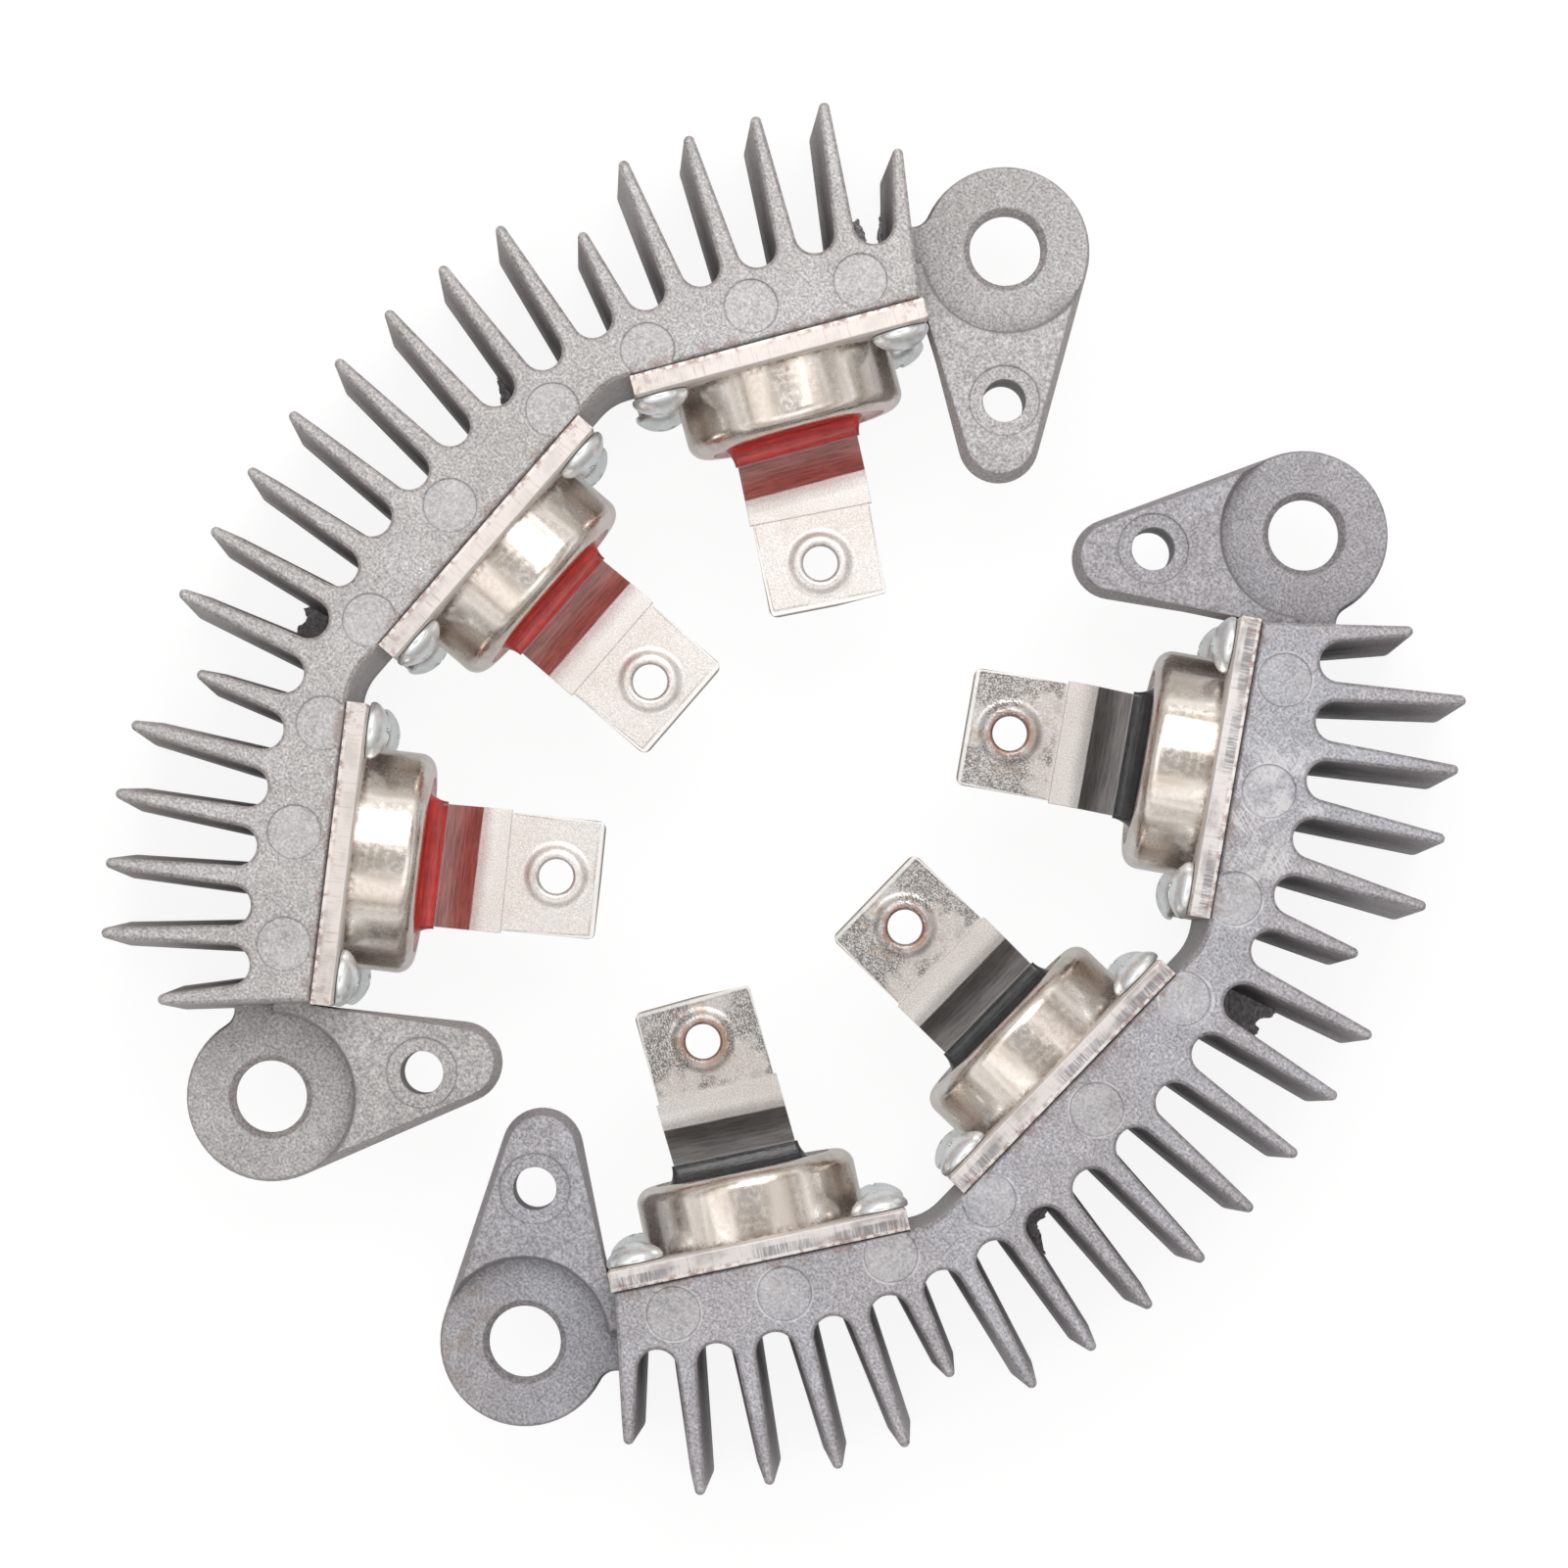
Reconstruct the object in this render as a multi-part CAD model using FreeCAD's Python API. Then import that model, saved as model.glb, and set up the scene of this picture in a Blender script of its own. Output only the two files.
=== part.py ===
import FreeCAD, Part
import math
import os

# Three-phase bridge rectifier of a heavy alternator, in millimetres.
# Two identical finned castings face each other. Each carries three press-pack diodes on its inner flats.
# Z is up. X is the outward axis of the positive half, and Y runs from ear to ear.

V = FreeCAD.Vector
UP = V(0, 0, 1)
TINY = 1e-6
OVERRUN = 1.0                # of a cutting tool past the face that it starts from

# Layout of the two halves
EAR_LINE_GAP = 55.4          # between the middles of the two ear bolt lines
HALF_TURN = 1.57             # degrees that each half is turned, so that the ears at the +Y end are nearer
HALF_SLIDE = 0.65            # of each half along its bolt line, in opposite directions

# Casting: finned wall
WALL_HEIGHT = 36.0
FLAT_RADIUS = 90.8           # from the polar centre of the fins to each inner flat
FLAT_CORNER_ROUND = 8.0
FLAT_BEVEL = 0.6             # along the upper and lower edges of the flats
WALL_THICKNESS = 10.2        # middle flat to the foot of the slots
SLOT_COUNT = 19
FIN_THICKNESS = 2.8          # at the foot, upper side
FIN_LENGTH = 21.0
SHORT_FIN_LENGTH = 14.3
END_FIN_LENGTH = 13.2
SHORT_FIN_PLACE = 6          # counted from each end
FIN_TIP_ROUND = 0.75
END_FIN_ANGLE = 1.15         # degrees from the end corner to the end fin
END_FACE_TURN = 3.8          # degrees that the end face leans away from the flat's normal
DRAFT_ANGLE = 1.65
EDGE_BEVEL = 0.45

# Casting: ears, placed from the corner where the end face meets the side flat
LARGE_HOLE_OUT = 13.9        # square to the end face
LARGE_HOLE_ALONG = 5.5       # along the end face, away from the flat
LARGE_HOLE_RADIUS = 5.2
LARGE_HOLE_CHAMFER = 0.9
SMALL_HOLE_OUT = 9.2
SMALL_HOLE_ALONG = -16.3
SMALL_HOLE_RADIUS = 3.1
TIP_OUT = 7.5
TIP_ALONG = -21.7
TIP_ROUND = 5.9
DISC_RADIUS = 12.3
DISC_THICKNESS = 4.8
LEAF_THICKNESS = 12.5
EAR_FILLET = 2.6
EAR_LEAN = 0.16              # sideways lean of the ear's edge for each millimetre of height
DISC_RECESS_GAP = 0.3        # from the recess wall to the disc's outline
EAR_PLATE_GAP = 0.4
EAR_FILLET_DIP = 0.3         # of the fillet into the end face
SPOT_FACE_RADIUS = 5.1
SPOT_FACE_DEPTH = 0.3
EAR_BITE = 1.3               # how far the ear runs into the end fin

# Casting: marks of the ejector pins on the upper side
PIN_MARK_RADIUS = 3.85
PIN_MARK_DEPTH = 0.25
PIN_MARK_PLACE = 5.3         # of their centres, further from the polar centre than the flats
PIN_MARK_SHARES = (0.0, 0.35, 0.63, 0.91, 1.19)  # of the angle between the flats, from the middle one

# Diode module: base plate
PLATE_LENGTH = 43.3
PLATE_THICKNESS = 3.2
PLATE_CHAMFER = 0.4
MIDDLE_PLATE_TO_KNEE = 6.17  # from the middle plate's end to the corner between two flats
SIDE_PLATE_TO_KNEE = 3.37
SCREW_FROM_END = 3.85        # from the plate's short edge
SCREW_FROM_EDGE = 5.0        # from the plate's long edge

# Diode module: screws
SCREW_RADIUS = 2.0
SCREW_LENGTH = 8.0
HEAD_RADIUS = 4.1
HEAD_HEIGHT = 3.0
HEAD_RIM = 0.9
SCREW_PLATE_CLEARANCE = 0.25
SCREW_THREAD_CLEARANCE = 0.05
SCREW_TIP_CLEARANCE = 0.8

# Diode module: can, potting and chip
CAN_RADIUS = 16.0
CAN_HEIGHT = 9.6
CAN_WALL = 0.9
CAN_ROUND = 2.4
CAN_MOUTH_RADIUS = 12.8
POTTING_DROP = 0.35          # of the potting's surface below the can's lip
RIDGE_HEIGHT = 2.6
RIDGE_MARGIN = 0.5           # of potting round the strap at the top of the ridge
RIDGE_FLARE = 3.0            # further out at the foot of the ridge
RIDGE_SIDE_SHARE = 0.75      # of the flare that the ridge has past the strap's edges
RIDGE_HOLLOW = 2.2           # power of the flare's curve
RIDGE_ROUNDNESS = 0.6        # of the ridge's section, as a share of its half height
CHIP_SIZE = 12.0
CHIP_THICKNESS = 0.5

# Diode module: terminal strap
STRAP_THICKNESS = 1.15
STRAP_WIDTH = 17.9
STRAP_END_WIDTH = 17.1
STRAP_REACH = 38.5           # from the casting's flat to the strap's end
STRAP_STEP_PLACE = 24.8      # from the casting's flat to the crease
STRAP_STEP_DEPTH = 0.15
STRAP_FOOT = 6.5
STRAP_DROP = 1.5             # of the strap's root below the module's axis
STRAP_RISE = 4.7
RAMP_START = 15.4
RAMP_LENGTH = 6.5
STRAP_BEND = 1.0             # inner bend radius
STRAP_CORNER = 1.2
TERMINAL_HOLE_RADIUS = 2.5
TERMINAL_HOLE_FROM_END = 6.5
RING_RADIUS = 5.1
RING_HEIGHT = 0.75
RING_LIP_ROUND = 0.65        # between the ring's crest and the hole
RING_FOOT_RISE = 0.1         # share of the height where the ring's curve leaves the strap
STRAP_SWINGS = {             # degrees that a strap stands askew in plan
    ("positive", 1): -4.0,
    ("positive", 3): 1.2,
    ("negative", 1): 3.7,
}

# Worked-out places
MID_HEIGHT = WALL_HEIGHT / 2
PLATE_HEIGHT = WALL_HEIGHT
SCREW_ACROSS = PLATE_HEIGHT / 2 - SCREW_FROM_EDGE
SCREW_ALONG = PLATE_LENGTH / 2 - SCREW_FROM_END
SLOT_FOOT = FLAT_RADIUS + WALL_THICKNESS
KNEE_ALONG = PLATE_LENGTH / 2 + MIDDLE_PLATE_TO_KNEE
SIDE_FLAT_ANGLE = 2 * math.degrees(math.atan(KNEE_ALONG / FLAT_RADIUS))
PLATE_SHIFT = KNEE_ALONG - PLATE_LENGTH / 2 - SIDE_PLATE_TO_KNEE  # of a side module towards the middle one
CAN_FRONT = PLATE_THICKNESS + CAN_HEIGHT
POTTING_FRONT = CAN_FRONT - POTTING_DROP
STRAP_ROOT = PLATE_THICKNESS + CHIP_THICKNESS + STRAP_THICKNESS / 2
STRAP_TOP = STRAP_RISE - STRAP_DROP + STRAP_THICKNESS / 2
TERMINAL_HOLE_PLACE = STRAP_REACH - TERMINAL_HOLE_FROM_END
MODULES = ((1, -SIDE_FLAT_ANGLE, PLATE_SHIFT), (2, 0.0, 0.0), (3, SIDE_FLAT_ANGLE, -PLATE_SHIFT))


def polar(radius, degrees):
    """A point of the plan at a polar distance and angle."""
    return V(radius * math.cos(math.radians(degrees)), radius * math.sin(math.radians(degrees)), 0)


def left_of(direction):
    """The direction a quarter turn to the left, in plan."""
    return V(-direction.y, direction.x, 0)


def lifted(point, z):
    return V(point.x, point.y, z)


def flat_point(angle, along):
    """A point on the inner flat that faces the given angle."""
    return polar(FLAT_RADIUS, angle) + polar(along, angle + 90)


# Outlines are belts run anticlockwise round circles: a radius is positive where the belt turns left
# round its circle, negative where it turns right, 0 at a sharp corner and None at a pinned corner. An
# inset shrinks every radius by the same amount, so that drafted walls stay flat and conical, and
# leaves pinned corners where they are.

def shrunk(radius, inset):
    return 0.0 if radius is None else radius - inset


def tangent_points(start, end, inset):
    """The ends of the straight stretch between two neighbouring circles of a belt."""
    p, p_radius = start[0], shrunk(start[1], inset)
    q, q_radius = end[0], shrunk(end[1], inset)
    run = V(q - p).normalize()
    sine = max(-1.0, min(1.0, (p_radius - q_radius) / (q - p).Length))
    normal = run * sine - left_of(run) * math.sqrt(1 - sine * sine)
    return p + normal * p_radius, q + normal * q_radius


def crossing(a, b, c, d):
    """The point where the lines a-b and c-d meet."""
    first, second = b - a, d - c
    return a + first * ((c - a).cross(second).z / first.cross(second).z)


def belt(circles, inset=0.0, z=0.0):
    """A closed wire of straight stretches and arcs round the circles."""
    count = len(circles)
    lines = [list(tangent_points(circles[i - 1], circles[i], inset)) for i in range(count)]
    for line in lines:
        if (line[1] - line[0]).Length < TINY:
            line[1] = line[0]
    arcs = [None] * count
    for i, (centre, radius) in enumerate(circles):
        before, after = lines[i], lines[(i + 1) % count]
        if radius == 0:
            before[1] = after[0] = crossing(*before, *after)
        elif radius is not None:
            turn = (before[1] - centre) + (after[0] - centre)
            arcs[i] = (before[1], centre + turn.normalize() * abs(radius - inset), after[0])
    edges = []
    for line, arc in zip(lines, arcs):
        if line[1] is not line[0]:
            edges.append(Part.LineSegment(*[lifted(p, z) for p in line]).toShape())
        if arc is not None:
            edges.append(Part.Arc(*[lifted(p, z) for p in arc]).toShape())
    return Part.Wire(edges)


def stack(circles, levels):
    """A solid through insets of one belt, given as pairs of height and inset."""
    layers = []
    for (low, low_inset), (high, high_inset) in zip(levels, levels[1:]):
        wires = [belt(circles, low_inset, low), belt(circles, high_inset, high)]
        layers.append(Part.makeLoft(wires, True, True))
    return layers[0].multiFuse(layers[1:]) if len(layers) > 1 else layers[0]


def prism(circles, low, high):
    return Part.Face(belt(circles, 0.0, low)).extrude(V(0, 0, high - low))


def cylinder(radius, low, high, centre):
    return Part.makeCylinder(radius, high - low, lifted(centre, low))


def mirrored(circles):
    """The same belt on the other side of the half's axis."""
    return [(V(p.x, -p.y, 0), radius) for p, radius in reversed(circles)]


# The end of the wall: its corner, the direction along the end face and the direction out of it

def end_frame():
    corner = flat_point(SIDE_FLAT_ANGLE, PLATE_LENGTH / 2 - PLATE_SHIFT) + polar(FLAT_BEVEL, SIDE_FLAT_ANGLE)
    along = polar(1, SIDE_FLAT_ANGLE + END_FACE_TURN)
    return corner, along, left_of(along)


def end_point(along_distance, out_distance):
    corner, along, out = end_frame()
    return corner + along * along_distance + out * out_distance


def end_fin_direction():
    corner = end_frame()[0]
    return math.degrees(math.atan2(corner.y, corner.x)) - END_FIN_ANGLE


def slot_pitch():
    return 2 * end_fin_direction() / SLOT_COUNT


def slot_round():
    """The radius at the foot of a slot, from the pitch and the fin's thickness."""
    half_pitch = math.sin(math.radians(slot_pitch() / 2))
    return (2 * SLOT_FOOT * half_pitch - FIN_THICKNESS) / (2 - 2 * half_pitch)


def wall_lean(height):
    return height * math.tan(math.radians(DRAFT_ANGLE))


def fin_length(number):
    if number in (0, SLOT_COUNT):
        return END_FIN_LENGTH
    if number in (SHORT_FIN_PLACE - 1, SLOT_COUNT + 1 - SHORT_FIN_PLACE):
        return SHORT_FIN_LENGTH
    return FIN_LENGTH


def fin_tip(number):
    """The circle at the tip of a fin, numbered from the end at the negative angle."""
    angle = (number - SLOT_COUNT / 2) * slot_pitch()
    radius = FIN_TIP_ROUND + wall_lean(WALL_HEIGHT)
    return polar(SLOT_FOOT + fin_length(number) - FIN_TIP_ROUND, angle), radius


def slot_foot(number):
    angle = (number - (SLOT_COUNT - 1) / 2) * slot_pitch()
    return polar(SLOT_FOOT + slot_round(), angle), wall_lean(WALL_HEIGHT) - slot_round()


def wall_outline():
    """The finned side and the end faces at the foot; the inner side is cut to its flats afterwards."""
    outline = [fin_tip(0)]
    for number in range(SLOT_COUNT):
        outline += [slot_foot(number), fin_tip(number + 1)]
    end = end_point(-FLAT_CORNER_ROUND, 0)
    return [(V(end.x, -end.y, 0), 0.0)] + outline + [(end, 0.0)]


def inner_space():
    """The outline of the space inside the flats."""
    side = flat_point(SIDE_FLAT_ANGLE, PLATE_LENGTH)
    knee_distance = (FLAT_RADIUS - FLAT_CORNER_ROUND) / math.cos(math.radians(SIDE_FLAT_ANGLE / 2))
    knee = (polar(knee_distance, SIDE_FLAT_ANGLE / 2), FLAT_CORNER_ROUND)
    upper = [knee, (side, 0.0), (side - polar(FLAT_RADIUS / 2, SIDE_FLAT_ANGLE), 0.0)]
    return mirrored(upper) + upper


def finned_wall():
    lean = wall_lean(EDGE_BEVEL)
    full_lean = wall_lean(WALL_HEIGHT)
    wall = stack(wall_outline(), [
        (0.0, EDGE_BEVEL),
        (EDGE_BEVEL, lean),
        (WALL_HEIGHT - EDGE_BEVEL, full_lean - lean),
        (WALL_HEIGHT, full_lean + EDGE_BEVEL),
    ])
    past = FLAT_BEVEL + OVERRUN
    return wall.cut(stack(inner_space(), [
        (-OVERRUN, -past),
        (FLAT_BEVEL, 0.0),
        (WALL_HEIGHT - FLAT_BEVEL, 0.0),
        (WALL_HEIGHT + OVERRUN, -past),
    ]))


def ear_outline():
    """The ear of the end at the positive angle, at mid-height."""
    sink_in = wall_lean(MID_HEIGHT) + EAR_BITE
    fillet_out = EAR_FILLET - wall_lean(MID_HEIGHT) - EAR_FILLET_DIP
    reach = DISC_RADIUS + EAR_FILLET
    side = LARGE_HOLE_OUT - fillet_out
    fillet_along = LARGE_HOLE_ALONG + math.sqrt(reach * reach - side * side)
    return [
        (end_point(LARGE_HOLE_ALONG, -2 * sink_in), None),
        (end_point(fillet_along + EAR_FILLET_DIP, -sink_in), None),
        (end_point(fillet_along, fillet_out), -EAR_FILLET),
        (end_point(LARGE_HOLE_ALONG, LARGE_HOLE_OUT), DISC_RADIUS),
        (end_point(TIP_ALONG, TIP_OUT), TIP_ROUND),
        (end_point(-EAR_PLATE_GAP, EAR_PLATE_GAP), None),
    ]


def recess_tool(side):
    """What is taken off one face of the leaf round the large hole, up to the end face."""
    depth = (LEAF_THICKNESS - DISC_THICKNESS) / 2
    radius = DISC_RADIUS - DISC_RECESS_GAP
    height = 2 * depth
    floor = MID_HEIGHT + side * DISC_THICKNESS / 2
    centre = end_point(LARGE_HOLE_ALONG, LARGE_HOLE_OUT)
    cone = Part.makeCone(radius, radius + EAR_LEAN * height, height, lifted(centre, floor), UP * side)
    reach = 2 * DISC_RADIUS
    corners = [(0, -reach), (reach, -reach), (reach, reach), (0, reach)]
    beyond = [(end_point(LARGE_HOLE_ALONG + a, LARGE_HOLE_OUT + o), 0.0) for a, o in corners]
    low, high = sorted((floor, floor + side * height))
    return cone.fuse(prism(beyond, low, high))


def ear_holes():
    """The large hole with its chamfers and the small hole with its spot faces."""
    large = end_point(LARGE_HOLE_ALONG, LARGE_HOLE_OUT)
    small = end_point(SMALL_HOLE_ALONG, SMALL_HOLE_OUT)
    tools = [
        cylinder(LARGE_HOLE_RADIUS, 0, WALL_HEIGHT, large),
        cylinder(SMALL_HOLE_RADIUS, 0, WALL_HEIGHT, small),
    ]
    chamfer = LARGE_HOLE_CHAMFER
    radius = LARGE_HOLE_RADIUS
    for side in (-1, 1):
        start = lifted(large, MID_HEIGHT + side * (DISC_THICKNESS / 2 - chamfer))
        tools.append(Part.makeCone(radius, radius + 2 * chamfer, 2 * chamfer, start, UP * side))
        start = lifted(small, MID_HEIGHT + side * (LEAF_THICKNESS / 2 - SPOT_FACE_DEPTH))
        tools.append(Part.makeCylinder(SPOT_FACE_RADIUS, 2 * SPOT_FACE_DEPTH, start, UP * side))
    return tools


def ear():
    half = LEAF_THICKNESS / 2
    lean = half * EAR_LEAN
    levels = [(MID_HEIGHT - half, lean), (MID_HEIGHT, 0.0), (MID_HEIGHT + half, lean)]
    leaf = stack(ear_outline(), levels)
    return leaf.cut([recess_tool(1), recess_tool(-1)] + ear_holes())


def pin_marks():
    tools = []
    for share in PIN_MARK_SHARES:
        for side in {share, -share}:
            centre = polar(FLAT_RADIUS + PIN_MARK_PLACE, side * SIDE_FLAT_ANGLE)
            tools.append(cylinder(PIN_MARK_RADIUS, WALL_HEIGHT - PIN_MARK_DEPTH, WALL_HEIGHT + OVERRUN, centre))
    return tools


def screw_places():
    """Along and across places of a module's four screws, from its centre."""
    return [(a * SCREW_ALONG, b * SCREW_ACROSS) for a in (-1, 1) for b in (-1, 1)]


def on_flat(shape, angle, along):
    """Moves a piece made with X out of the flat and Z across it to its module on the casting."""
    place = FreeCAD.Placement(lifted(flat_point(angle, along), MID_HEIGHT), FreeCAD.Rotation(UP, angle + 180))
    moved = shape.copy()
    moved.Placement = place.multiply(moved.Placement)
    return moved


def tapped_holes():
    radius = SCREW_RADIUS + SCREW_THREAD_CLEARANCE
    depth = SCREW_LENGTH - PLATE_THICKNESS + SCREW_TIP_CLEARANCE
    tools = []
    for number, angle, along in MODULES:
        for a, b in screw_places():
            hole = Part.makeCylinder(radius, depth + OVERRUN, V(OVERRUN, a, b), V(-1, 0, 0))
            tools.append(on_flat(hole, angle, along))
    return tools


def heat_sink():
    upper_ear = ear()
    lower_ear = upper_ear.mirror(V(0, 0, 0), V(0, 1, 0))
    return finned_wall().fuse([upper_ear, lower_ear]).cut(pin_marks() + tapped_holes())


# Pieces of one module, made with X out of the flat, Y along it and Z across it from the middle

def base_plate():
    plate = Part.makeBox(PLATE_THICKNESS, PLATE_LENGTH, PLATE_HEIGHT,
                         V(0, -PLATE_LENGTH / 2, -PLATE_HEIGHT / 2))
    rim = [edge for edge in plate.Edges if edge.CenterOfMass.x > PLATE_THICKNESS - TINY]
    plate = plate.makeChamfer(PLATE_CHAMFER, rim)
    radius = SCREW_RADIUS + SCREW_PLATE_CLEARANCE
    holes = [Part.makeCylinder(radius, PLATE_THICKNESS, V(0, a, b), V(1, 0, 0)) for a, b in screw_places()]
    return plate.cut(holes)


def turned(points):
    """A solid turned round the module's axis from (distance out, radius) points, with arcs as triples."""
    edges = []
    for points_of_edge in points:
        ends = [V(x, r, 0) for x, r in points_of_edge]
        edge = Part.LineSegment(*ends) if len(ends) == 2 else Part.Arc(*ends)
        edges.append(edge.toShape())
    face = Part.Face(Part.Wire(edges))
    return face.revolve(V(0, 0, 0), V(1, 0, 0), 360)


def diode_can():
    """A pressed cup with a rounded shoulder and an open mouth."""
    back, front = PLATE_THICKNESS, CAN_FRONT
    outer, inner, lip = CAN_RADIUS, CAN_RADIUS - CAN_WALL, CAN_MOUTH_RADIUS
    big, small = CAN_ROUND, CAN_ROUND - CAN_WALL
    diagonal = math.sqrt(0.5)
    under = front - CAN_WALL
    return turned([
        [(back, inner), (back, outer)],
        [(back, outer), (front - big, outer)],
        [(front - big, outer), (front - big + big * diagonal, outer - big + big * diagonal), (front, outer - big)],
        [(front, outer - big), (front, lip)],
        [(front, lip), (under, lip)],
        [(under, lip), (under, inner - small)],
        [(under, inner - small), (under - small + small * diagonal, inner - small + small * diagonal),
         (under - small, inner)],
        [(under - small, inner), (back, inner)],
    ])


def ridge_section(x, half_width, half_height, swing):
    """A rounded rectangle round the strap, square to the module's axis."""
    corner = half_height * RIDGE_ROUNDNESS
    wire = belt([(V(a * (half_width - corner), b * (half_height - corner), 0), corner)
                 for a, b in ((-1, -1), (1, -1), (1, 1), (-1, 1))])
    centre = V(x, (x - STRAP_ROOT) * math.tan(math.radians(swing)), -STRAP_DROP)
    upright = FreeCAD.Placement(centre, FreeCAD.Rotation(V(1, 1, 1), 120))
    wire.Placement = upright.multiply(wire.Placement)
    return wire


def potting_ridge(swing):
    """The resin drawn up round the strap, hollow in profile."""
    sections = []
    low, high = POTTING_FRONT - STRAP_THICKNESS, POTTING_FRONT + RIDGE_HEIGHT
    count = 4
    for step in range(count):
        share = step / (count - 1)
        flare = RIDGE_MARGIN + RIDGE_FLARE * (1 - share) ** RIDGE_HOLLOW
        half_width, half_height = STRAP_WIDTH / 2 + flare * RIDGE_SIDE_SHARE, STRAP_THICKNESS / 2 + flare
        sections.append(ridge_section(low + (high - low) * share, half_width, half_height, swing))
    return Part.makeLoft(sections, True, False)


def potting(swing):
    inner, lip = CAN_RADIUS - CAN_WALL, CAN_MOUTH_RADIUS
    under = CAN_FRONT - CAN_WALL
    small = CAN_ROUND - CAN_WALL
    diagonal = math.sqrt(0.5)
    fill = turned([
        [(PLATE_THICKNESS, 0), (PLATE_THICKNESS, inner)],
        [(PLATE_THICKNESS, inner), (under - small, inner)],
        [(under - small, inner), (under - small + small * diagonal, inner - small + small * diagonal),
         (under, inner - small)],
        [(under, inner - small), (under, lip)],
        [(under, lip), (POTTING_FRONT, lip)],
        [(POTTING_FRONT, lip), (POTTING_FRONT, 0)],
        [(POTTING_FRONT, 0), (PLATE_THICKNESS, 0)],
    ])
    return fill.fuse(potting_ridge(swing)).cut([diode_chip(), strap_blank(swing)])


def diode_chip():
    return Part.makeBox(CHIP_THICKNESS, CHIP_SIZE, CHIP_SIZE,
                        V(PLATE_THICKNESS, -CHIP_SIZE / 2, -STRAP_DROP - CHIP_SIZE / 2 + STRAP_FOOT / 2))


def strap_path():
    """The middle line of the strap's side view, as (out, across) points."""
    root, top = -STRAP_DROP, -STRAP_DROP + STRAP_RISE
    return [V(STRAP_ROOT, root + STRAP_FOOT, 0), V(STRAP_ROOT, root, 0), V(RAMP_START, root, 0),
            V(RAMP_START + RAMP_LENGTH, top, 0), V(STRAP_REACH, top, 0)]


def strap_profile():
    """The belt round a strip that follows the path, with its bends."""
    path = strap_path()
    half = STRAP_THICKNESS / 2
    first, last = V(path[1] - path[0]).normalize(), V(path[-1] - path[-2]).normalize()
    right_side = [(path[0] - left_of(first) * half, 0.0)]
    left_side = [(path[0] + left_of(first) * half, 0.0)]
    for before, point, after in zip(path, path[1:], path[2:]):
        come, go = V(point - before).normalize(), V(after - point).normalize()
        turn = math.copysign(1, come.cross(go).z)
        inward = V(go - come).normalize()
        half_turn = come.getAngle(go) / 2
        centre = point + inward * ((STRAP_BEND + half) / math.cos(half_turn))
        outer, inner = STRAP_BEND + STRAP_THICKNESS, -STRAP_BEND
        right_side.append((centre, outer if turn > 0 else inner))
        left_side.append((centre, inner if turn > 0 else outer))
    right_side.append((path[-1] - left_of(last) * half, 0.0))
    left_side.append((path[-1] + left_of(last) * half, 0.0))
    return right_side + left_side[::-1]


def swung(shape, swing):
    """Turns a piece of the strap's plan about the strap's root."""
    return shape.rotated(V(STRAP_ROOT, 0, 0), UP, swing)


def terminal_hole_point(swing):
    return V(STRAP_ROOT, 0, 0) + polar(TERMINAL_HOLE_PLACE - STRAP_ROOT, swing)


def strap_blank(swing):
    """The bent strip in its plan, before its hole. Its bends stay level with the plate."""
    profile = prism(strap_profile(), -STRAP_WIDTH, STRAP_WIDTH)
    strip = profile.rotated(V(0, 0, 0), V(1, 0, 0), 90)
    wide, narrow = STRAP_WIDTH / 2, STRAP_END_WIDTH / 2
    plan = [
        (V(0, -wide, 0), 0.0), (V(STRAP_STEP_PLACE, -wide, 0), 0.0), (V(STRAP_STEP_PLACE, -narrow, 0), 0.0),
        (V(STRAP_REACH - STRAP_CORNER, STRAP_CORNER - narrow, 0), STRAP_CORNER),
        (V(STRAP_REACH - STRAP_CORNER, narrow - STRAP_CORNER, 0), STRAP_CORNER),
        (V(STRAP_STEP_PLACE, narrow, 0), 0.0), (V(STRAP_STEP_PLACE, wide, 0), 0.0), (V(0, wide, 0), 0.0),
    ]
    return strip.common(swung(prism(plan, -PLATE_HEIGHT / 2, PLATE_HEIGHT / 2), swing))


def terminal_ring():
    """The ring drawn up round the terminal hole, at the origin, with a slope outside and a round lip."""
    base = STRAP_TOP - STRAP_STEP_DEPTH
    sunk = base - STRAP_THICKNESS / 2
    lip = RING_LIP_ROUND
    crest = V(TERMINAL_HOLE_RADIUS + lip, 0, base + RING_HEIGHT)
    middle = (RING_RADIUS + crest.x) / 2
    slope = Part.BezierCurve()
    slope.setPoles([V(RING_RADIUS, 0, base), V(middle, 0, base + RING_HEIGHT * RING_FOOT_RISE),
                    V(middle, 0, crest.z), crest])
    inside = crest - V(lip, 0, lip)
    quarter = crest - V(lip * math.sqrt(0.5), 0, lip * (1 - math.sqrt(0.5)))
    edges = [
        slope,
        Part.Arc(crest, quarter, inside),
        Part.LineSegment(inside, V(inside.x, 0, sunk)),
        Part.LineSegment(V(inside.x, 0, sunk), V(RING_RADIUS, 0, sunk)),
        Part.LineSegment(V(RING_RADIUS, 0, sunk), V(RING_RADIUS, 0, base)),
    ]
    return Part.Face(Part.Wire([edge.toShape() for edge in edges])).revolve(V(0, 0, 0), UP, 360)


def terminal_strap(swing):
    centre = terminal_hole_point(swing)
    thinned = Part.makeBox(STRAP_REACH, 2 * STRAP_WIDTH, STRAP_THICKNESS,
                           V(STRAP_STEP_PLACE, -STRAP_WIDTH, STRAP_TOP - STRAP_STEP_DEPTH))
    hole = cylinder(TERMINAL_HOLE_RADIUS, -PLATE_HEIGHT / 2, PLATE_HEIGHT / 2, centre)
    return strap_blank(swing).cut(swung(thinned, swing)).fuse(terminal_ring().translated(centre)).cut(hole)


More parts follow.
